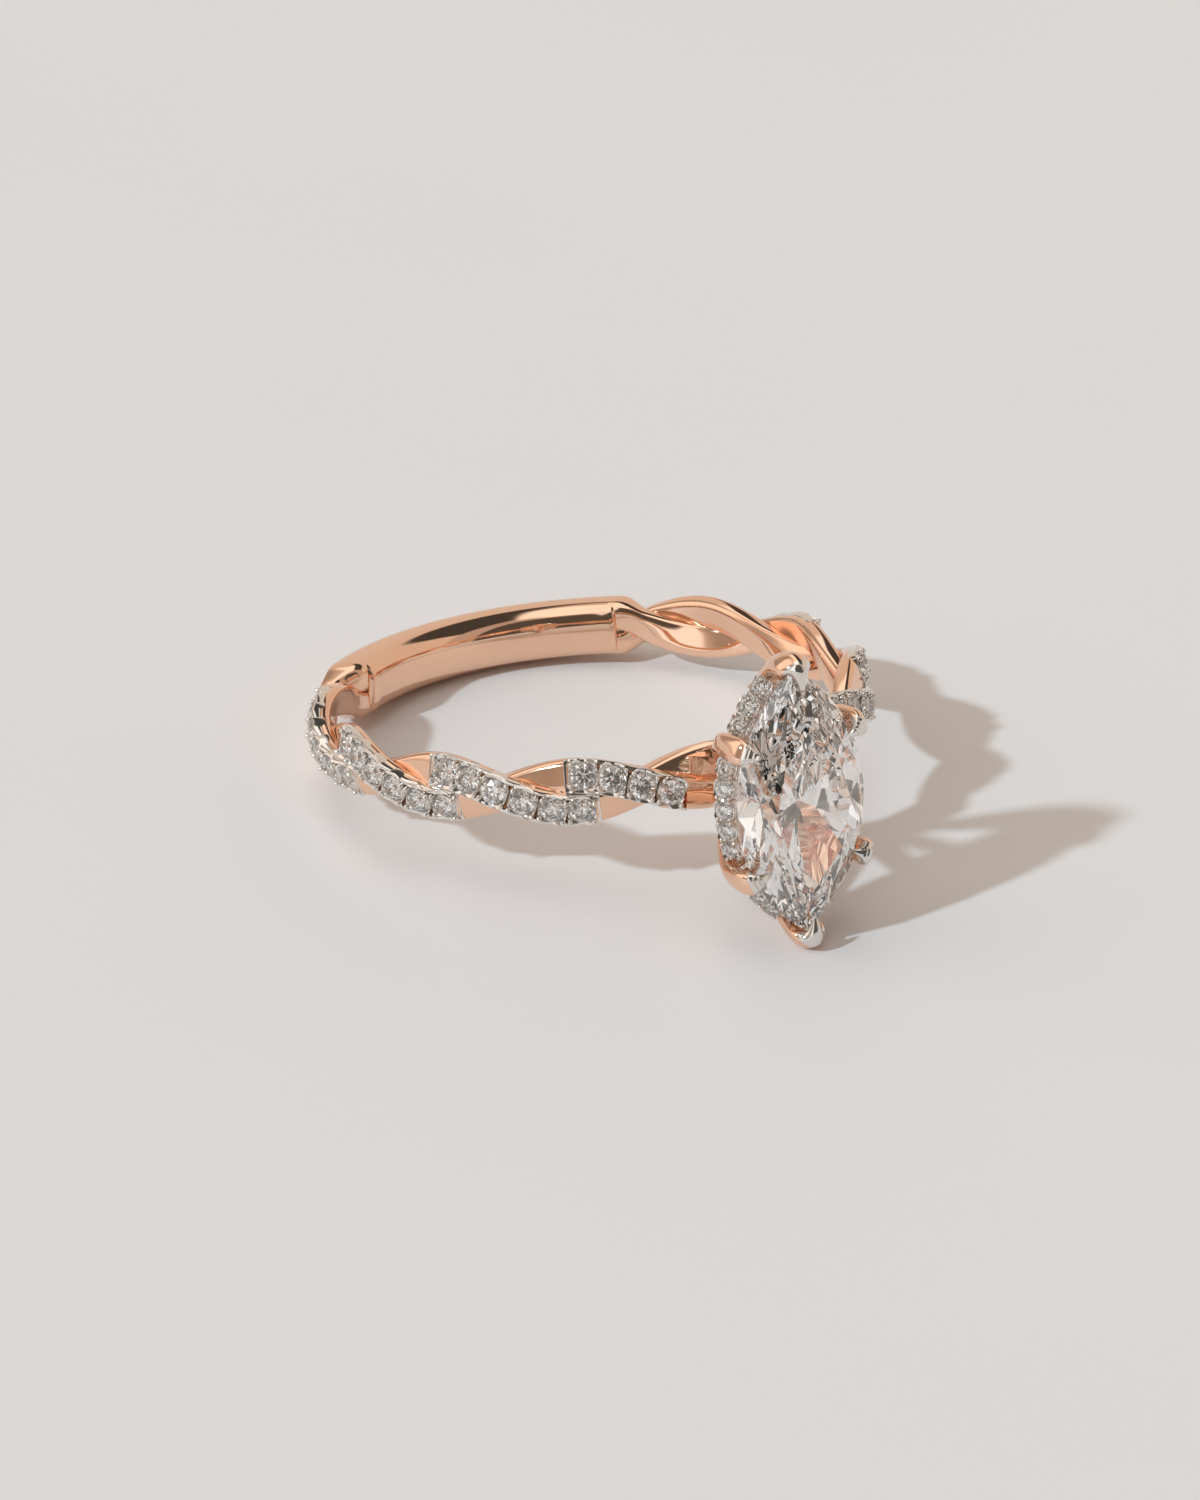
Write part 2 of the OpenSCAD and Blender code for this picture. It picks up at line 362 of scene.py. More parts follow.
def sweep(
    bm: BMesh, profile: Profile, stations: Sequence[Matrix], closed: bool = False
) -> list[list[BMVert]]:
    """Carries a section along stations by extruding its edges.

    Args:
        bm: The mesh.
        profile: The section.
        stations: A matrix from the section's plane for each place.
        closed: Whether the last place joins the first. Otherwise flat ends close the shape.

    Returns:
        The points at each station.
    """
    rows = [profile.draw(bm)]
    bmesh.ops.transform(bm, matrix=stations[0], verts=rows[0])
    first = last = edges_of(rows[0])
    for before, after in zip(stations, stations[1:]):
        fresh, last = extruded(bm, last)
        bmesh.ops.transform(bm, matrix=after @ before.inverted(), verts=fresh)
        rows.append(fresh)
    if closed:
        bmesh.ops.bridge_loops(bm, edges=first + last)
    else:
        for rim in (first, last):
            bmesh.ops.edgeloop_fill(bm, edges=rim)
    bmesh.ops.recalc_face_normals(bm, faces=bm.faces)
    # A ring with pointed ends can come out inside out.
    if bm.calc_volume(signed=True) < 0:
        bmesh.ops.reverse_faces(bm, faces=bm.faces)
    return rows


def as_mesh(name: str, bm: BMesh) -> bpy.types.Mesh:
    """Turns a finished bmesh to a mesh.

    Args:
        name: The mesh's name.
        bm: The bmesh, which is used up.

    Returns:
        The mesh.
    """
    mesh = bpy.data.meshes.new(name)
    bm.to_mesh(mesh)
    bm.free()
    return mesh


def stamp(bm: BMesh, part: BMesh, places: Iterable[Matrix]) -> None:
    """Adds a copy of a finished part at each place.

    Args:
        bm: The mesh that gets the copies.
        part: The part, which is used up.
        places: A matrix for each copy.
    """
    shape = as_mesh("part", part)
    for place in places:
        known = len(bm.verts)
        bm.from_mesh(shape)
        bm.verts.ensure_lookup_table()
        bmesh.ops.transform(bm, matrix=place, verts=bm.verts[known:])
    bpy.data.meshes.remove(shape)


def link(name: str, data: bpy.types.ID) -> bpy.types.Object:
    """Makes an object and puts it in the scene.

    Args:
        name: The object's name.
        data: Its mesh, camera or light.

    Returns:
        The object.
    """
    thing = bpy.data.objects.new(name, data)
    bpy.context.scene.collection.objects.link(thing)
    return thing


def finish_piece(
    name: str,
    bm: BMesh,
    materials: Sequence[bpy.types.Material],
    slot: Slot,
    node: str = METAL_NODE,
    sharp_deg: float = 35.0,
) -> None:
    """Lays a piece as the ring lies and makes it part of the object. Stones keep flat facets.

    Args:
        name: The piece's name.
        bm: Its mesh in the ring's frame, in millimetres.
        materials: Its materials, in the order of the faces' material numbers.
        slot: The record's material slot; here it only tells metal, which is shaded smooth, from
            stone.
        node: The CAD node that it stands for.
        sharp_deg: The metal's edges sharper than this stay crisp.
    """
    bmesh.ops.transform(bm, matrix=lying(), verts=bm.verts)
    metal = slot is Slot.GOLD
    for face in bm.faces:
        face.smooth = metal
    mesh = as_mesh(name, bm)
    if metal:
        mesh.set_sharp_from_angle(angle=math.radians(sharp_deg))
    for material in materials:
        mesh.materials.append(material)
    piece = link(name, mesh)
    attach(piece, "root")
    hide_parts(node)
    LOG.info("%s: %d faces", name, len(mesh.polygons))


# ---- Stones ----


@dataclass(frozen=True)
class Outline:
    """A stone's outline of two equal arcs that meet at its points. A round stone has half-circles.

    Angles are in degrees along the upper arc, from its middle.
    """

    length: float
    width: float

    @property
    def radius(self) -> float:
        """Radius of either arc."""
        return ((self.length / 2) ** 2 + (self.width / 2) ** 2) / self.width

    @property
    def half_angle(self) -> float:
        """Half of the angle that an arc covers."""
        return math.degrees(2 * math.atan2(self.width, self.length))

    def normal(self, angle: float) -> Vector:
        """The direction straight out of the upper arc at an angle."""
        return Vector((math.sin(math.radians(angle)), math.cos(math.radians(angle)), 0))

    def point(self, angle: float, out: float = 0.0, height: float = 0.0) -> Vector:
        """A point at an angle along the upper arc, moved out from it and up."""
        a, r = math.radians(angle), self.radius + out
        return Vector((r * math.sin(a), r * math.cos(a) - self.radius + self.width / 2, height))


@dataclass(frozen=True)
class Brilliant:
    """A brilliant cut: a table, stars, main facets and halves above, and mains and halves below.

    The facets' planes are worked out on a quarter of the outline and mirrored round it. The table
    and the depths of the stars and of the lower halves are shares.
    """

    outline: Outline
    crown: float
    pavilion: float
    girdle: float
    mains: tuple[float, ...]
    table: float = 0.58
    star_depth: float = 0.5
    lower_reach: float = 0.77
    outline_steps: int = 12
    flat_within: float = 0.002

    def rough(self) -> BMesh:
        """Makes the prism that the facets are cut from.

        Returns:
            The prism.
        """
        bm = bmesh.new()
        count, half = 4 * self.outline_steps, self.outline.half_angle
        loop = bmesh.ops.create_circle(bm, cap_ends=True, segments=count, radius=1.0)["verts"]
        for i, vert in enumerate(loop):
            turned, along = divmod(i, count // 2)
            angle = -half + along * half / self.outline_steps
            point = self.outline.point(angle, height=-self.girdle / 2 - self.pavilion)
            vert.co = Vector((-point.x, -point.y, point.z)) if turned else point
        made = bmesh.ops.extrude_face_region(bm, geom=bm.faces[:])["geom"]
        height = self.crown + self.pavilion + self.girdle
        top = [g for g in made if isinstance(g, BMVert)]
        bmesh.ops.translate(bm, vec=(0, 0, height), verts=top)
        bmesh.ops.recalc_face_normals(bm, faces=bm.faces)
        return bm

    def grind(self, bm: BMesh, point: Vector, normal: Vector) -> None:
        """Cuts a facet and its mirror images.

        Args:
            bm: The stone.
            point: A point on the facet, in the quarter where x and y are above 0.
            normal: The facet's outward direction.
        """
        done: set[tuple[float, ...]] = set()
        for mirror in (Vector((x, y, 1)) for x in (1, -1) for y in (1, -1)):
            there, way = point * mirror, (normal * mirror).normalized()
            key = tuple(round(c, 5) for c in (*way, there.dot(way)))
            if key in done:
                continue
            done.add(key)
            cut = bmesh.ops.bisect_plane(
                bm,
                geom=[*bm.verts, *bm.edges, *bm.faces],
                dist=TINY,
                plane_co=there,
                plane_no=way,
                clear_outer=True,
            )["geom_cut"]
            rim = [g for g in cut if isinstance(g, BMEdge) and g.is_boundary]
            if rim:
                bmesh.ops.edgeloop_fill(bm, edges=rim)

    def through(self, bm: BMesh, a: Vector, b: Vector, c: Vector) -> None:
        """Cuts the facet through three points, facing away from the stone's middle."""
        normal = (b - a).cross(c - a)
        self.grind(bm, a, -normal if normal.dot(a) < 0 else normal)

    def facing(self, a: float) -> Vector:
        """A main facet's direction, which is along the stone at its point."""
        at_point = a >= self.outline.half_angle - TINY
        return Vector((1, 0, 0)) if at_point else self.outline.normal(a)

    def corner(self, a: float, b: float, share_out: float, depth: float, height: float) -> Vector:
        """Where two neighbouring main facets meet at a height.

        Args:
            a: Arc angle of the first main facet.
            b: Arc angle of the second one.
            share_out: The mains' reach at their inner end, as a share of the outline.
            depth: How far from the girdle to that end, from 0 to 1.
            height: The height there.

        Returns:
            The point.
        """
        na, nb = self.facing(a), self.facing(b)
        shrink = 1 - depth * (1 - share_out)
        da, db = (n.dot(self.outline.point(x)) * shrink for n, x in ((na, a), (nb, b)))
        det = na.x * nb.y - na.y * nb.x
        return Vector(((da * nb.y - na.y * db) / det, (na.x * db - da * nb.x) / det, height))

    def build(self) -> BMesh:
        """Cuts the whole stone.

        Returns:
            The stone.
        """
        bm = self.rough()
        top, bottom = self.girdle / 2, -self.girdle / 2
        table_z, culet_z = top + self.crown, bottom - self.pavilion
        for z, end, share in ((top, table_z, self.table), (bottom, culet_z, 0.0)):
            for a in self.mains:
                way = self.facing(a)
                reach = way.dot(self.outline.point(a))
                slope = reach * (1 - share) / (end - z)
                rim = Vector((way.x * reach, way.y * reach, z))
                self.grind(bm, rim, Vector((way.x, way.y, slope)))
        star_z = top + self.crown * self.star_depth
        low_z = bottom - self.pavilion * self.lower_reach
        for a, b in zip(self.mains, self.mains[1:]):
            star = self.corner(a, b, self.table, self.star_depth, star_z)
            low = self.corner(a, b, 0.0, self.lower_reach, low_z)
            table = [self.outline.point(x) * self.table + Vector((0, 0, table_z)) for x in (a, b)]
            self.through(bm, *table, star)
            for x in (a, b):
                for z, inside in ((top, star), (bottom, low)):
                    rim = [self.outline.point(y, height=z) for y in (x, (a + b) / 2)]
                    self.through(bm, *rim, inside)
        bmesh.ops.dissolve_limit(bm, angle_limit=self.flat_within, verts=bm.verts, edges=bm.edges)
        bmesh.ops.recalc_face_normals(bm, faces=bm.faces)
        return bm


def round_brilliant(diameter: float) -> Brilliant:
    """A small round stone's cut.

    Args:
        diameter: The stone's diameter.

    Returns:
        The cut.
    """
    return Brilliant(
        outline=Outline(diameter, diameter),
        crown=0.14 * diameter,
        pavilion=0.43 * diameter,
        girdle=0.04,
        mains=(0.0, 45.0, 90.0),
        outline_steps=4,
    )


# ---- Settings of the small stones ----


@dataclass(frozen=True)
class SettingCell:
    """One stone's seat in a pave row: a cut-down wall round the stone, with a bead at each corner.

    Heights count from the stone's girdle. The wall's lines are rounded squares, drawn in by a share
    at the rim and the foot. The seat's steps are shares of the hole's radius and of the stone's
    diameter. The beads' places are in bead radii: out from the stone's edge, in from the cell's
    end, and in from its side at most and at least.
    """

    stone_d: float
    along: float
    across: float
    rise: float
    depth: float
    scoop: float = 0.1
    bead: float = 0.1
    bead_height: float = 0.16
    bead_stretch: float = 1.5
    bead_out: float = 0.45
    bead_in: float = 0.95
    bead_aside: tuple[float, float] = (2.2, 0.9)
    plated_to: float = 0.34
    clearance: float = 0.004
    lip: float = 0.012
    seat_in: float = 0.42
    seat_down: float = 0.3
    drill: float = 0.36
    squareness: float = 0.6
    rim_in: float = 0.96
    foot_in: float = 0.97
    ease: float = 0.03
    scoop_power: float = 0.8
    sides: int = 32

    def build(self) -> BMesh:
        """Makes the cell.

        Returns:
            The cell.
        """
        bm = bmesh.new()
        hole = self.stone_d / 2 + self.clearance
        turn = bm.verts.layers.float.new("turn")
        circle = bmesh.ops.create_circle(bm, cap_ends=False, segments=self.sides, radius=hole)
        bmesh.ops.translate(bm, vec=(0, 0, self.lip), verts=circle["verts"])
        for vert in circle["verts"]:
            vert[turn] = math.atan2(vert.co.y, vert.co.x)
        inner = outer = edges_of(circle["verts"])
        for shape in (self.rim, self.shoulder, self.plated, self.foot):
            fresh, outer = extruded(bm, outer)
            for vert in fresh:
                vert.co = shape(vert[turn])
        steps = ((self.seat_in, -self.stone_d * self.seat_down), (self.drill, -self.depth))
        for share, height in steps:
            fresh, inner = extruded(bm, inner)
            for vert in fresh:
                x, y = math.cos(vert[turn]), math.sin(vert[turn])
                vert.co = Vector((hole * share * x, hole * share * y, height))
        bmesh.ops.bridge_loops(bm, edges=outer + inner)
        bmesh.ops.recalc_face_normals(bm, faces=bm.faces)
        for face in bm.faces:
            plated = face.calc_center_median().z > -self.plated_to - self.ease / 2
            face.material_index = WHITE if plated else GOLD
        self.add_beads(bm)
        return bm

    def wall(self, angle: float, shrink: float, height: float) -> Vector:
        """A point on the outer wall.

        Args:
            angle: Direction from the stone's middle, in radians.
            shrink: How far out the wall's line stands, as a share.
            height: The point's height.

        Returns:
            The point.
        """
        x = self.across * shrink * signed_power(math.cos(angle), self.squareness)
        y = self.along * shrink * signed_power(math.sin(angle), self.squareness)
        return Vector((x, y, height))

    def edge_height(self, angle: float) -> float:
        """The wall's top, high at the corners and scooped out beside the stone."""
        return self.rise - self.scoop * (1 - abs(math.sin(2 * angle)) ** self.scoop_power)

    def rim(self, angle: float) -> Vector:
        """The bright-cut rim, just inside the wall."""
        return self.wall(angle, self.rim_in, self.edge_height(angle))

    def shoulder(self, angle: float) -> Vector:
        """The wall's top edge, eased."""
        return self.wall(angle, 1.0, self.edge_height(angle) - self.ease)

    def plated(self, angle: float) -> Vector:
        """Where the white plating ends on the wall."""
        return self.wall(angle, 1.0, -self.plated_to)

    def foot(self, angle: float) -> Vector:
        """The wall's foot."""
        return self.wall(angle, self.foot_in, -self.depth)

    def add_beads(self, bm: BMesh) -> None:
        """Adds the beads, which lap over the stone's edge and stay within the wall's corners.

        Args:
            bm: The cell.
        """
        reach = self.stone_d / 2 + self.bead * self.bead_out
        y = self.along - self.bead * self.bead_in
        low, high = (self.across - self.bead * share for share in self.bead_aside)
        x = min(max(math.sqrt(max(0.0, reach**2 - y**2)), low), high)
        stretch = Matrix.Diagonal((1, 1, self.bead_stretch, 1))
        for across, along in ((x, y), (x, -y), (-x, y), (-x, -y)):
            bead = bmesh.ops.create_uvsphere(bm, u_segments=10, v_segments=6, radius=self.bead)
            place = Matrix.Translation((across, along, self.bead_height - self.bead))
            bmesh.ops.transform(bm, matrix=place @ stretch, verts=bead["verts"])
            for face in {f for v in bead["verts"] for f in v.link_faces}:
                face.material_index = WHITE


@dataclass(frozen=True)
class RowEnd:
    """The bright-cut facet at the end of a row, which slopes up from the last stone.

    Heights count from the stones' girdles. The block's middle lies a little past the row's end.
    """

    width: float = 1.1
    length: float = 0.2
    top: float = 0.1
    foot: float = -0.4
    slope: float = 0.07
    past: float = 0.05
    ease: float = 0.035

    def build(self) -> BMesh:
        """Makes the facet's block.

        Returns:
            The block, whose Y runs away from the stone.
        """
        bm = bmesh.new()
        block = bmesh.ops.create_cube(bm, size=1.0)["verts"]
        bmesh.ops.scale(bm, vec=(self.width, self.length, self.top - self.foot), verts=block)
        bmesh.ops.translate(bm, vec=(0, self.past, (self.top + self.foot) / 2), verts=block)
        low = [v for v in block if v.co.z > 0 and v.co.y < 0]
        bmesh.ops.translate(bm, vec=(0, 0, -self.slope), verts=low)
        bmesh.ops.bevel(
            bm,
            geom=bm.edges[:],
            offset=self.ease,
            segments=3,
            profile=0.5,
            affect="EDGES",
            clamp_overlap=True,
            material=-1,
        )
        return bm


@dataclass(frozen=True)
class SetStones:
    """Small round stones with their setting cells."""

    cell: SettingCell
    metals: Sequence[bpy.types.Material]
    diamond: bpy.types.Material

    def build(
        self, name: str, node: str, places: Sequence[Matrix], trim: BMesh | None = None
    ) -> None:
        """Makes the stones and the cells of one field.

        Args:
            name: Start of the pieces' names.
            node: The CAD node that the stones stand for.
            places: Each stone's place.
            trim: Further white metal.
        """
        stones, cells = bmesh.new(), bmesh.new()
        stamp(stones, round_brilliant(self.cell.stone_d).build(), places)
        stamp(cells, self.cell.build(), places)
        if trim:
            for face in trim.faces:
                face.material_index = WHITE
            stamp(cells, trim, [Matrix.Identity(4)])
        finish_piece(f"{name}_melee", stones, [self.diamond], Slot.STONE, node)
        finish_piece(f"{name}_cells", cells, self.metals, Slot.GOLD)


# ---- The shank ----


@dataclass(frozen=True)
class Twist:
    """Where the two strands run, and how they merge into the bar.

    Angles are in degrees round the ring from the head, below 0 on the near side.
    """

    hole_r: float = 8.25
    rise: float = 1.0
    swing_out: float = 0.32
    swing_side: float = 0.535
    thickness: float = 0.74
    width: float = 1.2
    lean: float = 16.5
    pass_pitch: float = 29.5
    straight_half: float = 2.8
    bar_half: float = 37.3
    merge: float = 7.0
    merged_radius: float = 9.2
    merged_side: float = 0.44
    merged_thickness: float = 1.44
    merged_width: float = 1.14
    course_step: float = 0.5

    @property
    def radius(self) -> float:
        """Radius of the strands' middle line."""
        return self.hole_r + self.rise

    @property
    def outer_radius(self) -> float:
        """Radius of the strands' outer face, where they cross."""
        return self.radius + self.thickness / 2

    def merging(self, f: float) -> float:
        """How far a strand has thickened into the bar at an angle, from 0 to 1."""
        share = min(1.0, max(0.0, 1 - (180 - self.bar_half - abs(f)) / self.merge))
        return share * share * (3 - 2 * share)

    def phase(self, f: float, strand: int) -> float:
        """A strand's turn in the twist, in degrees, where 0 is farthest out."""
        start = 90 + 180 * (strand if f < 0 else 1 - strand)
        return start + 180 / self.pass_pitch * max(0.0, abs(f) - self.straight_half)

    def station(self, f: float, strand: int, low: float = -1.0, high: float = 1.0) -> Matrix:
        """The section's place at an angle.

        Args:
            f: Angle round the ring.
            strand: 0 or 1.
            low: Inner face, in half thicknesses from the middle.
            high: Outer face, in half thicknesses from the middle.

        Returns:
            The matrix for a section of half-width 1.
        """
        turn = math.radians(self.phase(f, strand))
        side = 1 if f < 0 else -1
        grown = self.merging(f)
        lean = math.radians(side * self.lean * math.sin(turn)) * (1 - grown)
        out = Vector((math.cos(math.radians(f)), math.sin(math.radians(f)), 0))
        up = Vector((0, 0, 1))
        thick = out * math.cos(lean) + up * math.sin(lean)
        wide = up * math.cos(lean) - out * math.sin(lean)
        radius = mixed(self.radius + self.swing_out * math.cos(turn), self.merged_radius, grown)
        merged_side = math.copysign(self.merged_side, math.sin(turn))
        aside = mixed(self.swing_side * math.sin(turn), merged_side, grown)
        half = mixed(self.thickness, self.merged_thickness, grown) / 2
        width = mixed(self.width, self.merged_width, grown)
        origin = out * radius + up * (side * aside) + thick * (half * (low + high) / 2)
        return frame_matrix(origin, thick * (half * (high - low) / 2), wide * (width / 2))

    def flank(
        self, f: float, strand: int, hand: int, width: float, span: tuple[float, float]
    ) -> Matrix:
        """The section's place for a strip along one edge of a strand.

        Args:
            f: Angle round the ring.
            strand: 0 or 1.
            hand: 1 or -1 for either edge.
            width: The strip's width.
            span: Its inner and outer face, in half thicknesses from the strand's middle.

        Returns:
            The matrix for a section of half-width 1.
        """
        m = self.station(f, strand, *span)
        across = m.col[1].xyz.normalized()
        place = m.translation + across * (hand * (self.width - width) / 2)
        return frame_matrix(place, m.col[0].xyz, across * (width / 2))

    def stone_place(self, f: float, strand: int, sink: float) -> Matrix:
        """The place of a stone's girdle.

        Args:
            f: Angle round the ring.
            strand: 0 or 1.
            sink: How deep the girdle lies under the strand's outer face.

        Returns:
            The place, with Z out of the strand and Y along its course.
        """
        m = self.station(f, strand)
        thick = m.col[0].xyz.normalized()
        origin = m.translation + thick * (self.thickness / 2 - sink)
        before, after = (
            self.station(f + sign * self.course_step, strand).translation for sign in (-1, 1)
        )
        course = after - before
        along = (course - thick * course.dot(thick)).normalized()
        return frame_matrix(origin, along.cross(thick), along)


@dataclass(frozen=True)
class StoneRows:
    """The rows of stones in the outer passes of the near side, with white walls along them.

    The spacing is that of the CAD model's stones. They are shown wider, so that they fill their
    cells as in the photo.
    """

    twist: Twist
    stone_d: float = 0.88
    shown_d: float = 0.93
    gap: float = 0.09
    in_pass: int = 6
    at_head: int = 4
    passes: int = 4
    sink: float = 0.09
    wall: float = 0.14
    wall_rise: float = 0.07
    wall_scoop: float = 0.1
    wall_foot: float = 0.28
    wall_steps: int = 8
    wall_profile: Profile = Profile(12, 0.6)

    @property
    def cell(self) -> SettingCell:
        """The seat of each stone."""
        return SettingCell(self.shown_d, along=0.5, across=0.585, rise=0.09, depth=0.42)

    @property
    def step(self) -> float:
        """Angle from one stone to the next."""
        return math.degrees((self.stone_d + self.gap) / self.twist.outer_radius)

    def rows(self) -> list[tuple[int, list[float]]]:
        """Where the stones stand.

        Returns:
            Each row's strand and its stones' angles, from the head on.
        """
        rows = []
        for number in range(1, self.passes + 1):
            middle = self.twist.straight_half + (number - 0.5) * self.twist.pass_pitch
            first = self.in_pass - self.at_head if number == 1 else 0
            steps = [i - (self.in_pass - 1) / 2 for i in range(first, self.in_pass)]
            rows.append((number % 2, [-middle - i * self.step for i in steps]))
        return rows

    def reach(self, angles: Sequence[float]) -> tuple[float, float]:
        """Where a row starts and stops, half a step past its end stones."""
        return max(angles) + self.step / 2, min(angles) - self.step / 2

    def places(self, side: Side) -> list[Matrix]:
        """Every stone's place on one side of the ring."""
        return [
            side.turn() @ self.twist.stone_place(f, strand, self.sink)
            for strand, angles in self.rows()
            for f in angles
        ]

    def height(self, above_girdle: float) -> float:
        """A height over the stones' girdles in half thicknesses from the strand's middle."""
        return 1 + 2 * (above_girdle - self.sink) / self.twist.thickness

    def is_cut(self, f: float, strand: int) -> bool:
        """Whether a strand is cut down for a row.

        Args:
            f: Angle round the ring.
            strand: 0 or 1.

        Returns:
            Whether it is, at this angle.
        """
        near = strand if f < 0 else 1 - strand
        for row_strand, angles in self.rows():
            start, end = self.reach(angles)
            if row_strand == near and end <= -abs(f) <= start:
                return True
        return False

    def trim(self, side: Side) -> BMesh:
        """Makes the walls, scooped out beside each stone, and the rows' ends.

        Args:
            side: The side of the ring that they are for.

        Returns:
            Their mesh.
        """
        bm = bmesh.new()
        stamp(bm, RowEnd().build(), self.ends())
        foot = self.height(-self.wall_foot)
        for strand, angles in self.rows():
            start, step = self.reach(angles)[0], self.step / self.wall_steps
            for hand in (1, -1):
                stations = []
                for i in range(self.wall_steps * len(angles) + 1):
                    scoop = self.wall_scoop * math.sin(math.pi * i / self.wall_steps) ** 2
                    span = (foot, self.height(self.wall_rise - scoop))
                    f = start - i * step
                    stations.append(self.twist.flank(f, strand, hand, self.wall, span))
                sweep(bm, self.wall_profile, stations)
        bmesh.ops.transform(bm, matrix=side.turn(), verts=bm.verts)
        return bm

    def ends(self) -> list[Matrix]:
        """Where rows stop beside a polished strand. The head hides the first row's start.

        Returns:
            The places, with Y away from the row.
        """
        places = []
        for number, (strand, angles) in enumerate(self.rows()):
            for f, turn in zip(self.reach(angles), (0.0, math.pi)):
                if number or turn:
                    place = self.twist.stone_place(f, strand, self.sink)
                    places.append(place @ Matrix.Rotation(turn, 4, "Z"))
        return places


@dataclass(frozen=True)
class Shank:
    """The smooth bar and the two strands that twist from it to the head.

    Where stones are set, a strand's upper part is cut down from a height, and a share is left.
    """

    twist: Twist
    rows: StoneRows
    bar_t: float = 1.78
    bar_w: float = 2.0
    end_round: float = 0.28
    end_ease: float = 0.08
    end_steps: int = 8
    bar_steps: int = 48
    bar_profile: Profile = Profile(48, 0.5, 0.85)
    strand_profile: Profile = Profile(36)
    step: float = 1.2
    overlap: float = 2.0
    cut_from: float = -0.45
    cut_left: float = 0.1
    cut_slope: float = 0.02
    halvings: int = 20
    flank_foot: float = -0.6
    flank_lap: float = 0.02

    def strand(self, bm: BMesh, strand: int) -> None:
        """Adds one strand, which runs into the bar at both ends.

        Args:
            bm: The mesh that gets it.
            strand: 0 or 1.
        """
        reach = 180 - self.twist.bar_half + self.overlap
        count = math.ceil(2 * reach / self.step)
        angles = [mixed(-reach, reach, i / count) for i in range(count + 1)]
        stations: list[tuple[Matrix, bool]] = []
        was = False
        for before, f in zip([angles[0], *angles], angles):
            cut = self.rows.is_cut(f, strand)
            if cut != was:
                edge = self.cut_edge(before, f, strand)
                for nudge, state in ((-self.cut_slope, was), (self.cut_slope, cut)):
                    stations.append((self.twist.station(edge + nudge, strand), state))
            stations.append((self.twist.station(f, strand), cut))
            was = cut
        loops = sweep(bm, self.strand_profile, [place for place, _ in stations])
        for loop, (place, cut) in zip(loops, stations):
            for vert in loop if cut else ():
                local = place.inverted() @ vert.co
                local.x -= max(0.0, local.x - self.cut_from) * (1 - self.cut_left)
                vert.co = place @ local

    def cut_edge(self, low: float, high: float, strand: int) -> float:
        """Where a strand's cut begins or ends.

        Args:
            low: An angle on one side of the cut's edge.
            high: An angle on the other side.
            strand: 0 or 1.

        Returns:
            The edge's angle.
        """
        start = self.rows.is_cut(low, strand)
        for _ in range(self.halvings):
            middle = (low + high) / 2
            if self.rows.is_cut(middle, strand) == start:
                low = middle
            else:
                high = middle
        return low

    def flanks(self, bm: BMesh) -> None:
        """Adds the polished flanks under each row's white walls.

        Args:
            bm: The mesh that gets them.
        """
        wall = self.rows.wall
        span = (self.flank_foot, self.rows.height(self.flank_lap - self.rows.wall_foot))
        for side in (1, -1):
            for number, angles in self.rows.rows():
                start, end = self.rows.reach(angles)
                strand = number if side > 0 else 1 - number
                count = math.ceil((start - end) / self.step)
                course = [side * mixed(start, end, i / count) for i in range(count + 1)]
                for hand in (1, -1):
                    stations = [self.twist.flank(f, strand, hand, wall, span) for f in course]
                    sweep(bm, self.rows.wall_profile, stations)

    def bar(self, bm: BMesh) -> None:
        """Adds the smooth bar, whose inner end corners are rounded.

        Args:
            bm: The mesh that gets it.
        """
        length, hole = 2 * self.twist.bar_half, self.twist.hole_r
        quarter = [math.pi / 2 * i / self.end_steps for i in range(self.end_steps + 1)]
        ends = [math.degrees(self.end_round * (1 - math.cos(a)) / hole) for a in quarter]
        shares = [i / self.bar_steps for i in range(1, self.bar_steps)]
        middle = [mixed(ends[-1], length - ends[-1], share) for share in shares]
        stations = []
        for along in [*ends, *middle, *(length - e for e in reversed(ends))]:
            f = math.radians(180 - length / 2 + along)
            depth = math.radians(min(along, length - along)) * hole
            ease = rounded_off(self.end_ease, depth)
            low = hole + rounded_off(self.end_round, depth)
            high = hole + self.bar_t - ease
            out = Vector((math.cos(f), math.sin(f), 0))
            wide = Vector((0, 0, self.bar_w / 2 - ease))
            stations.append(frame_matrix(out * (low + high) / 2, out * (high - low) / 2, wide))
        sweep(bm, self.bar_profile, stations)

    def build(self, gold: bpy.types.Material) -> None:
        """Makes the bar and the strands.

        Args:
            gold: Their material.
        """
        bar, strands = bmesh.new(), bmesh.new()
        self.bar(bar)
        for strand in (0, 1):
            self.strand(strands, strand)
        self.flanks(strands)
        finish_piece("smooth_bar", bar, [gold], Slot.GOLD)
        finish_piece("twisted_strands", strands, [gold], Slot.GOLD)


# ---- The head ----


@dataclass(frozen=True)
class ClawRow:
    """A claw's section: its share of the way to the stone's edge, then its place, size and tilt."""

    share: float
    out: float
    up: float
    width: float
    thickness: float
    tilt: float

    def place(self, edge: Vector, way: Vector) -> Matrix:
        """The section's place.

        Args:
            edge: The point on the stone's edge.
            way: The direction out of the stone there.

        Returns:
            The matrix for a section of half-width 1.
        """
        tilt, up = math.radians(self.tilt), Vector((0, 0, 1))
        outward = way * math.cos(tilt) + up * math.sin(tilt)
        along = up.cross(way) * (self.width / 2)
        middle = edge * self.share + way * self.out + up * self.up
        return frame_matrix(middle, outward * (self.thickness / 2), along)


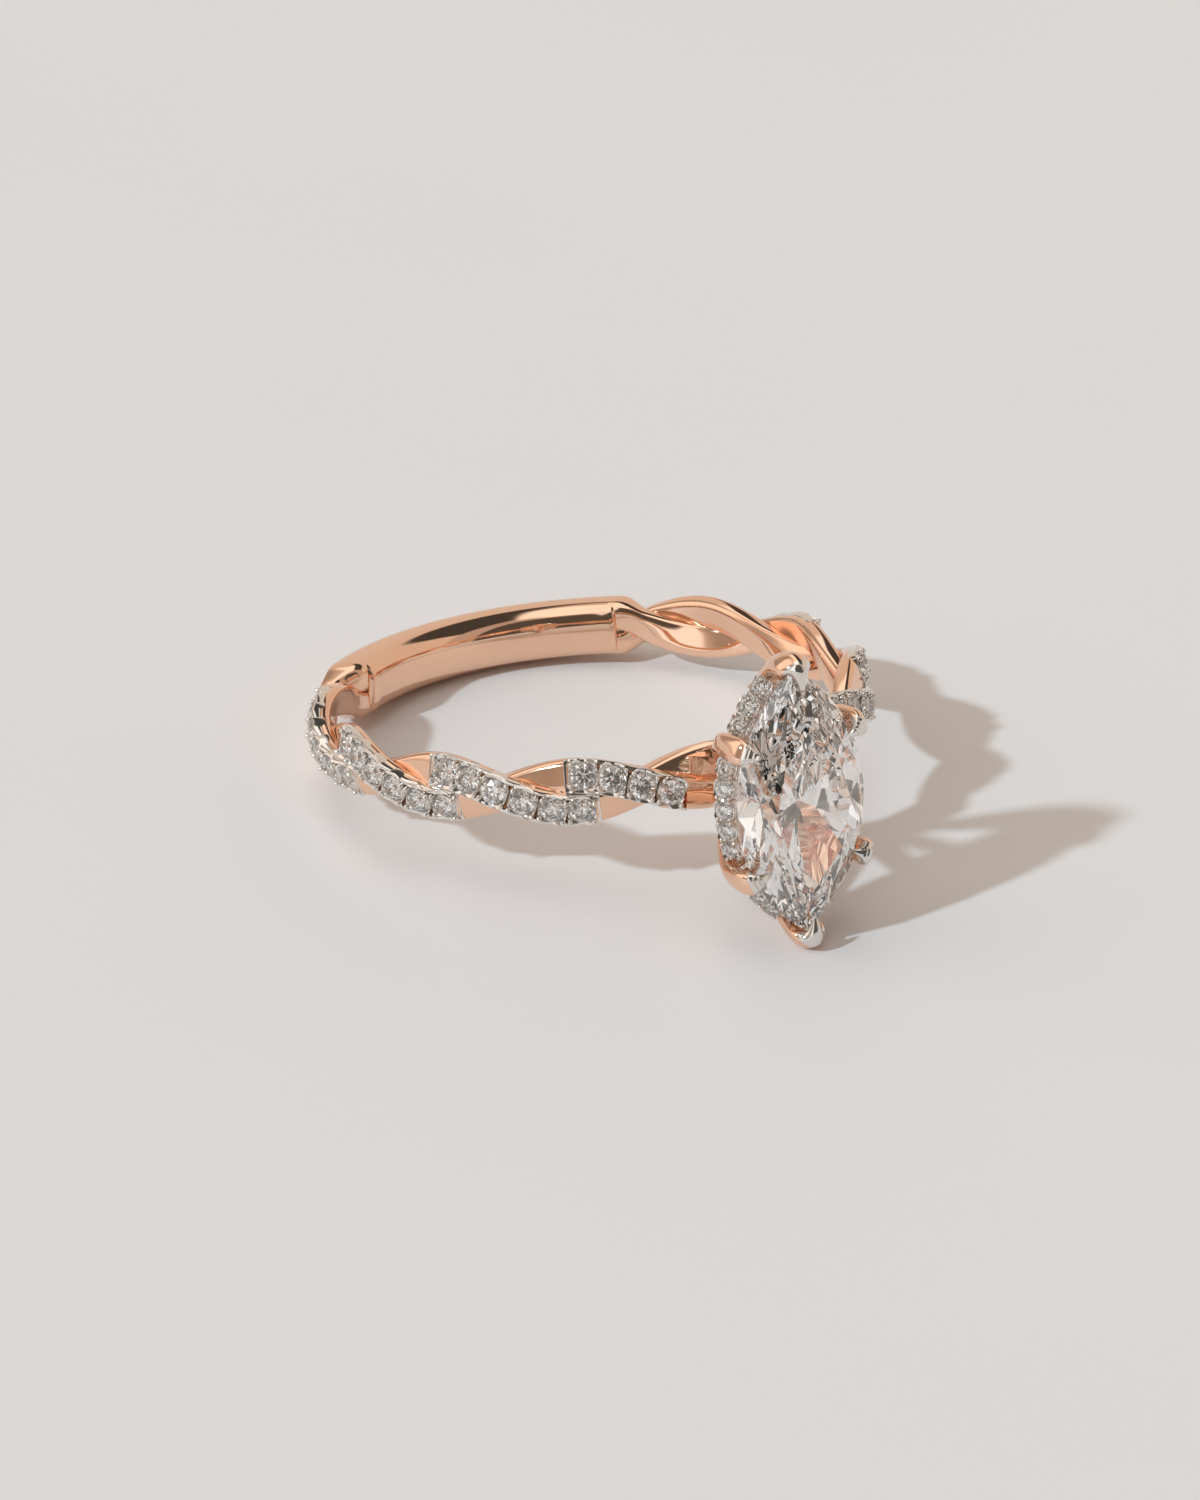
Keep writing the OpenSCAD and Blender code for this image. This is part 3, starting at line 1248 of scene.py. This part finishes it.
def smooth_rows(rows: Sequence[ClawRow], between: int) -> list[ClawRow]:
    """Fills in rows along a smooth curve.

    Args:
        rows: The driving rows.
        between: Rows for each step from one driving row to the next.

    Returns:
        The driving rows with the others between them.
    """
    made = []
    table = [astuple(row) for row in (rows[0], *rows, rows[-1])]
    for before, start, end, after in zip(table, table[1:], table[2:], table[3:]):
        for t in (step / between for step in range(between)):
            values = []
            for p, q, r, s in zip(before, start, end, after):
                square, cube = p - 2.5 * q + 2 * r - s / 2, 1.5 * (q - r) + (s - p) / 2
                values.append(q + t / 2 * (r - p) + t**2 * square + t**3 * cube)
            made.append(ClawRow(*values))
    made.append(rows[-1])
    return made


@dataclass(frozen=True)
class Claw:
    """One claw: its sections, its place on the stone and the grooves filed across its white tip.

    Its sides are drawn back by a share of their distance from the claw's rounded ridge.
    """

    rows: Sequence[ClawRow]
    edge: Vector
    way: Vector
    back: float = 0.0
    grooves: int = 0
    groove_depth: float = 0.66
    groove_step: int = 3
    ridge: float = 0.14
    between: int = 5
    white_from: int = 26
    profile: Profile = Profile(24, 0.75)

    def build(self, mirror: Matrix) -> BMesh:
        """Makes the claw.

        Args:
            mirror: What mirrors it or leaves it as it is.

        Returns:
            The claw.
        """
        bm = bmesh.new()
        start = self.white_from + 2
        filed = range(start, start + self.groove_step * self.grooves, self.groove_step)
        stations = []
        for i, row in enumerate(smooth_rows(self.rows, self.between)):
            deep = self.groove_depth if i in filed else 1.0
            stations.append(row.place(self.edge, self.way) @ Matrix.Diagonal((deep, 1, 1, 1)))
        loops = sweep(bm, self.profile, stations)
        for loop, place in zip(loops, stations):
            outward, along = (place.col[i].xyz.normalized() for i in (0, 1))
            for vert in loop:
                off = math.hypot((vert.co - place.translation).dot(along), self.ridge)
                vert.co -= outward * (self.back * (off - self.ridge))
        number = {v: i for i, loop in enumerate(loops) for v in loop}
        for face in bm.faces:
            white = min(number[v] for v in face.verts) >= self.white_from
            face.material_index = WHITE if white else GOLD
        bmesh.ops.transform(bm, matrix=mirror, verts=bm.verts)
        bmesh.ops.recalc_face_normals(bm, faces=bm.faces)
        return bm


@dataclass(frozen=True)
class Head:
    """The marquise stone, its six claws and the halo's rail under it. x runs along the stone.

    Angles are in degrees along the stone's arcs, and heights count from its girdle.
    """

    twist: Twist
    stone: Outline = Outline(9.16, 4.94)
    rise: float = 5.35
    crown: float = 0.8
    pavilion: float = 2.1
    girdle: float = 0.1
    main_angle: float = 29.0
    claw_w: float = 0.94
    claw_t: float = 0.56
    claw_gap: float = 0.04
    claw_hold: float = 0.4
    tip_gap: float = 0.02
    tip_back: float = 0.6
    halo_d: float = 0.65
    halo_gap: float = 0.09
    halo_sink: float = 0.08
    halo_middle: int = 2
    halo_end: int = 3
    rail_drop: float = 1.05
    rail_h: float = 0.76
    rail_t: float = 0.6
    rail_top: float = -0.08
    rail_tilt: float = 35.0
    rail_turn: float = 3.0
    rail_out: float = -0.25
    rail_steps: int = 24
    rail_profile: Profile = Profile(20, 0.6)

    @property
    def girdle_x(self) -> float:
        """Distance of the girdle from the finger's axis."""
        return self.twist.hole_r + self.rise

    @property
    def shank_top(self) -> float:
        """Height of the strands' outer face."""
        return self.twist.outer_radius - self.girdle_x

    @property
    def cell(self) -> SettingCell:
        """The seat of each halo stone."""
        return SettingCell(
            self.halo_d,
            along=0.36,
            across=0.38,
            rise=0.07,
            depth=0.32,
            scoop=0.08,
            bead=0.075,
            bead_height=0.11,
        )

    @property
    def halo_step(self) -> float:
        """Angle from one halo stone to the next."""
        out = self.rail_out + self.rail_t / 2 * math.cos(math.radians(self.rail_tilt))
        return math.degrees((self.halo_d + self.halo_gap) / (self.stone.radius + out))

    @property
    def beside_claw(self) -> float:
        """Angle from a claw to the halo stone beside it."""
        apart = self.claw_w * self.claw_hold + self.halo_d / 2 + self.claw_gap
        return math.degrees(apart / self.stone.radius)

    @property
    def claw_angle(self) -> float:
        """Angle of the side claws."""
        return self.halo_middle * self.halo_step + self.beside_claw

    def spins(self) -> list[Matrix]:
        """From the head's frame to the ring's frame, for each half of the head."""
        frame = Matrix.Translation((self.girdle_x, 0, 0)) @ Matrix.Rotation(math.pi / 2, 4, "Y")
        return [frame @ Matrix.Rotation(turn, 4, "Z") for turn in (0.0, math.pi)]

    def halo_angles(self) -> list[float]:
        """Where the halo's stones stand on one side.

        Returns:
            The angles of those between the side claws, then of the others.
        """
        start = self.claw_angle + self.beside_claw
        middle = [i * self.halo_step for i in range(-self.halo_middle, self.halo_middle + 1)]
        outer = [start + i * self.halo_step for i in range(self.halo_end)]
        return middle + [sign * a for sign in (-1, 1) for a in outer]

    def halo_places(self) -> list[Matrix]:
        """The place of each halo stone's girdle."""
        return [
            spin
            @ Matrix.Translation(self.stone.point(a, self.rail_out, -self.rail_drop))
            @ Matrix.Rotation(math.radians(-a), 4, "Z")
            @ Matrix.Rotation(math.radians(self.rail_tilt - 90), 4, "X")
            @ Matrix.Translation((0, 0, self.rail_t / 2 - self.halo_sink))
            @ Matrix.Rotation(math.pi / 2, 4, "Z")
            for spin in self.spins()
            for a in self.halo_angles()
        ]

    def side_rows(self) -> list[ClawRow]:
        """The side claws' shape.

        Returns:
            The sections from the shank to the stone.
        """
        w, t, top, drop = self.claw_w, self.claw_t, self.shank_top, -self.rail_drop
        out = t / 2 + self.claw_gap
        return [
            ClawRow(0.28, 0, top - 0.3, w * 0.8, t, -20),
            ClawRow(0.5, 0, top + 0.75, w * 0.8, t, -35),
            ClawRow(0.82, 0.1, drop - 0.9, w * 0.82, t, -30),
            ClawRow(1, 0.2, drop, w * 0.8, t, -14),
            ClawRow(1, out, -0.1, w * 0.96, t, 0),
            ClawRow(1, out - 0.07, 0.28, w * 0.9, t * 0.86, 30),
            ClawRow(1, out - 0.25, 0.48, w * 0.62, t * 0.6, 55),
            ClawRow(1, -0.12, 0.54, w * 0.36, t * 0.45, 80),
            ClawRow(1, -0.36, 0.47, w * 0.12, t * 0.2, 105),
        ]

    def tip_rows(self) -> list[ClawRow]:
        """The tip claws' shape.

        Returns:
            The sections from the shank to the stone's point.
        """
        w, t, top, drop = self.claw_w, self.claw_t, self.shank_top, -self.rail_drop
        out = t / 2 + self.tip_gap
        return [
            ClawRow(0.1, 0, top - 0.3, w * 0.8, t, -30),
            ClawRow(0.36, 0, top + 0.75, w * 0.85, t, -48),
            ClawRow(0.78, 0, drop - 0.9, w * 1.1, t, -42),
            ClawRow(0.98, 0.03, drop, w * 1.1, t, -25),
            ClawRow(1, out, -0.15, w * 1.35, t * 1.05, 0),
            ClawRow(1, out - 0.06, 0.28, w * 1.2, t * 0.95, 25),
            ClawRow(1, out - 0.2, 0.48, w * 0.8, t * 0.7, 50),
            ClawRow(1, -0.2, 0.52, w * 0.5, t * 0.5, 80),
            ClawRow(1, -0.58, 0.52, w * 0.2, t * 0.2, 105),
        ]

    def claws(self, metals: Sequence[bpy.types.Material]) -> None:
        """Makes the six claws.

        Args:
            metals: The gold of the claws and the white of their tips.
        """
        bm, a = bmesh.new(), self.claw_angle
        side = Claw(self.side_rows(), self.stone.point(a), self.stone.normal(a), grooves=3)
        edge, way = Vector((self.stone.length / 2, 0, 0)), Vector((1, 0, 0))
        tip = Claw(self.tip_rows(), edge, way, back=self.tip_back)
        for claw, flips in ((side, (1, -1)), (tip, (1,))):
            for flip in flips:
                stamp(bm, claw.build(Matrix.Diagonal((flip, 1, 1, 1))), self.spins())
        finish_piece("claws", bm, metals, Slot.GOLD)

    def rail(self, white: bpy.types.Material) -> None:
        """Makes the rail that the halo stands on.

        Args:
            white: Its material.
        """
        bm = bmesh.new()
        half, steps = self.stone.half_angle, self.rail_steps
        low, top = -self.rail_t / 2, self.rail_top
        stations = []
        for spin in self.spins():
            for i in range(steps, -steps, -1):
                a = i * half / steps
                way, stretch = self.stone.normal(a), 1.0
                middle = self.stone.point(a, self.rail_out, -self.rail_drop)
                if i == steps:
                    way, stretch = Vector((1, 0, 0)), 1 / math.sin(math.radians(half))
                    end = self.stone.length / 2 + self.rail_out * stretch
                    middle = Vector((end, 0, -self.rail_drop))
                tilt = math.radians(self.rail_tilt - self.rail_turn * (i / steps) ** 2)
                up = Vector((0, 0, 1))
                thick = way * (stretch * math.cos(tilt)) + up * math.sin(tilt)
                high = up * math.cos(tilt) - way * (stretch * math.sin(tilt))
                origin = middle + thick * ((low + top) / 2)
                size = thick * ((top - low) / 2), high * (self.rail_h / 2)
                stations.append(spin @ frame_matrix(origin, *size))
        sweep(bm, self.rail_profile, stations, closed=True)
        finish_piece("halo_rail", bm, [white], Slot.GOLD)

    def centre(self, diamond: bpy.types.Material) -> None:
        """Makes the marquise stone.

        Args:
            diamond: Its material.
        """
        mains = (0.0, self.main_angle, self.stone.half_angle)
        bm = Brilliant(self.stone, self.crown, self.pavilion, self.girdle, mains).build()
        bmesh.ops.transform(bm, matrix=self.spins()[0], verts=bm.verts)
        finish_piece("marquise_stone", bm, [diamond], Slot.STONE, "centre_stone")


# ---- Studio ----


@dataclass(frozen=True)
class Edge:
    """A circle on the sky as the ring sees it. A panel lies inside its edges.

    Angles are in degrees. The azimuth counts from +X towards +Y, and a radius of 90 makes the edge
    straight. The edge fades over its softness.
    """

    azimuth: float
    elevation: float
    radius: float = 90.0
    soft: float = 4.0

    def mask(self, tree: Tree, way: Socket) -> Socket:
        """Where a direction lies inside the circle.

        Args:
            tree: The world's node tree.
            way: The direction.

        Returns:
            A socket that is 1 inside and 0 outside.
        """
        az, el = math.radians(self.azimuth), math.radians(self.elevation)
        axis = (math.cos(az) * math.cos(el), math.sin(az) * math.cos(el), math.sin(el))
        near = add_node(tree, "ShaderNodeVectorMath", {0: way, 1: axis}, operation="DOT_PRODUCT")
        outer, inner = (
            math.cos(math.radians(self.radius + sign * self.soft / 2)) for sign in (1, -1)
        )
        step = add_node(
            tree,
            "ShaderNodeMapRange",
            {"Value": near.outputs["Value"], "From Min": outer, "From Max": inner},
            interpolation_type="SMOOTHSTEP",
        )
        return step.outputs["Result"]


def above(elevation: float, soft: float = 4.0) -> Edge:
    """An edge round everything higher than an elevation."""
    return Edge(0, 90, 90 - elevation, soft)


def below(elevation: float, soft: float = 4.0) -> Edge:
    """An edge round everything lower than an elevation."""
    return Edge(0, -90, 90 + elevation, soft)


def between(start: float, end: float, soft: float = 4.0) -> tuple[Edge, Edge]:
    """Upright edges at two azimuths less than half a turn apart."""
    return Edge(start + 90, 0, 90, soft), Edge(end - 90, 0, 90, soft)


@dataclass(frozen=True)
class Panel:
    """A wall, ceiling or screen of the studio, inside its edges."""

    colour: str
    edges: tuple[Edge, ...]

    def lay(self, tree: Tree, way: Socket, under: Socket | Colour) -> Socket:
        """Lays the panel over what is there.

        Args:
            tree: The world's node tree.
            way: The direction.
            under: The colour so far.

        Returns:
            The new colour.
        """
        mask: Socket | float = 1.0
        for edge in self.edges:
            masks = {0: mask, 1: edge.mask(tree, way)}
            mask = add_node(tree, "ShaderNodeMath", masks, operation="MULTIPLY").outputs[0]
        colours = {0: mask, 6: under, 7: linear(self.colour)}
        return add_node(tree, "ShaderNodeMix", colours, data_type="RGBA").outputs[2]


# The first three lie behind the camera and are made up. The photo's reflections give the others.
ROOM_PANELS = (
    Panel("#ffeee2", (*between(-155, -100, 16), above(8, 10), below(64, 10))),
    Panel("#9a8f84", (*between(-100, -66, 16), below(60, 12))),
    Panel("#9a8f84", (*between(-185, -155, 16), below(60, 12))),
    Panel("#cbbcae", between(40, 176, 10)),
    Panel("#fbf9f7", (*between(-62, -44, 5), below(60, 8))),
    Panel("#ada095", (*between(16, 43, 5), below(66, 10))),
    Panel("#504d48", (*between(-44, 60, 4), Edge(-63, -8.9, 90, 3), below(60, 16))),
    Panel("#fffaf2", (above(72, 5),)),
    Panel("#fffaf2", (*between(-85, -2, 6), above(64, 8))),
    Panel("#fffaf2", (*between(118, 172, 6), above(44, 5))),
    Panel("#a8998e", (*between(8, 60, 10), Edge(79, 0, 77, 3), above(52, 6), below(72, 5))),
    Panel("#42403d", (*between(43, 158, 6), Edge(79, 0, 77, 3), Edge(-95, 42, 90, 3))),
)


@dataclass(frozen=True)
class Studio:
    """A pale floor, soft light and the camera at the photograph's angle.

    Lengths are in millimetres and angles in degrees, and the key's colour is linear. The camera was
    fitted to the photo's outlines, in pixels, with the ring turned by the two fit angles.
    """

    floor_z: float = -2.676
    floor_half: float = 2000.0
    key_from: tuple[float, float, float] = (0.07, -0.82, 0.566)
    key_angle: float = 3.0
    key_strength: float = 2.2
    key_colour: tuple[float, float, float] = (0.725, 0.89, 1.0)
    room: str = "#c7bab0"
    room_strength: float = 1.235
    panels: tuple[Panel, ...] = ROOM_PANELS
    sensor: float = 36.0
    frame_px: float = 1500.0
    focal_px: float = 5677.0
    distance: float = 198.511
    aside: float = -0.3392
    above: float = 1.5979
    azimuth: float = 59.038
    elevation: float = 28.892
    fit_x: float = -2.1014
    fit_y: float = -10.76

    def floor(self) -> None:
        """Makes the floor."""
        bm = bmesh.new()
        bmesh.ops.create_grid(bm, x_segments=4, y_segments=4, size=self.floor_half * MM)
        bmesh.ops.translate(bm, vec=(0, 0, self.floor_z * MM), verts=bm.verts)
        mesh = as_mesh("floor", bm)
        mesh.materials.append(PALE_BOARD.build())
        link("floor", mesh)

    def view_axes(self) -> tuple[Vector, Vector, Vector]:
        """How the camera stands.

        Returns:
            Its backward, right and upward directions in the file's frame.
        """
        az, el = math.radians(self.azimuth), math.radians(self.elevation)
        back = Vector((math.sin(az) * math.cos(el), -math.cos(az) * math.cos(el), math.sin(el)))
        right = Vector((math.cos(az), math.sin(az), 0))
        fit = (
            Matrix.Rotation(math.radians(self.fit_x), 3, "X")
            @ Matrix.Rotation(math.radians(self.fit_y), 3, "Y")
            @ Matrix.Rotation(math.radians(REST_TILT), 3, "Y")
        ).transposed()
        return fit @ back, fit @ right, fit @ back.cross(right)

    def camera(self) -> None:
        """Makes the scene's camera."""
        back, right, up = self.view_axes()
        data = bpy.data.cameras.new("camera")
        data.sensor_width = self.sensor
        data.lens = self.focal_px / self.frame_px * self.sensor
        data.clip_start, data.clip_end = 0.01, 10.0
        camera = link("camera", data)
        place = (back * self.distance - right * self.aside - up * self.above) * MM
        turn = Matrix((right, up, back)).transposed().to_4x4()
        camera.matrix_world = Matrix.Translation(place) @ turn
        bpy.context.scene.camera = camera

    def key(self) -> None:
        """Makes the key light, small enough for the photograph's shadows."""
        data = bpy.data.lights.new("key", "SUN")
        data.angle = math.radians(self.key_angle)
        data.energy = self.key_strength
        data.color = self.key_colour
        lamp = link("key", data)
        lamp.rotation_mode = "QUATERNION"
        lamp.rotation_quaternion = Vector(self.key_from).to_track_quat("Z", "Y")

    def world(self) -> None:
        """Lights the room: each panel is laid over the ones before it."""
        world = bpy.data.worlds.new("studio")
        world.use_nodes = True
        bpy.context.scene.world = world
        tree = world.node_tree
        way = add_node(tree, "ShaderNodeTexCoord").outputs["Generated"]
        colour: Socket | Colour = linear(self.room)
        for panel in self.panels:
            colour = panel.lay(tree, way, colour)
        tree.links.new(colour, tree.nodes["Background"].inputs["Color"])
        tree.nodes["Background"].inputs["Strength"].default_value = self.room_strength

    def exposure(self) -> None:
        """Shows the light as it is, and follows it through the stones' many inner reflections."""
        scene = bpy.context.scene
        scene.view_settings.view_transform = "Standard"
        scene.cycles.max_bounces = 24
        scene.cycles.glossy_bounces = 16
        scene.cycles.transmission_bounces = 16

    def build(self) -> None:
        """Makes the whole studio."""
        self.exposure()
        self.floor()
        self.camera()
        self.key()
        self.world()


def main() -> None:
    """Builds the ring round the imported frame."""
    logging.basicConfig(level=logging.INFO, format="%(message)s")
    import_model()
    gold, white, diamond = ROSE_GOLD.build(), RHODIUM.build(), DIAMOND.build()

    twist = Twist()
    rows = StoneRows(twist)
    Shank(twist, rows).build(gold)
    LOG.info("built the shank")

    head = Head(twist)
    head.claws([gold, white])
    head.rail(white)
    head.centre(diamond)
    LOG.info("built the head")

    band = SetStones(rows.cell, [gold, white], diamond)
    band.build("near", "band_stones_near", rows.places(Side.NEAR), rows.trim(Side.NEAR))
    band.build("far", "band_stones_far", rows.places(Side.FAR), rows.trim(Side.FAR))
    halo = SetStones(head.cell, [gold, white], diamond)
    halo.build("halo", "halo_stones", head.halo_places())
    LOG.info("set the stones")

    Studio().build()
    LOG.info("built the studio")


if __name__ == "__main__":
    main()
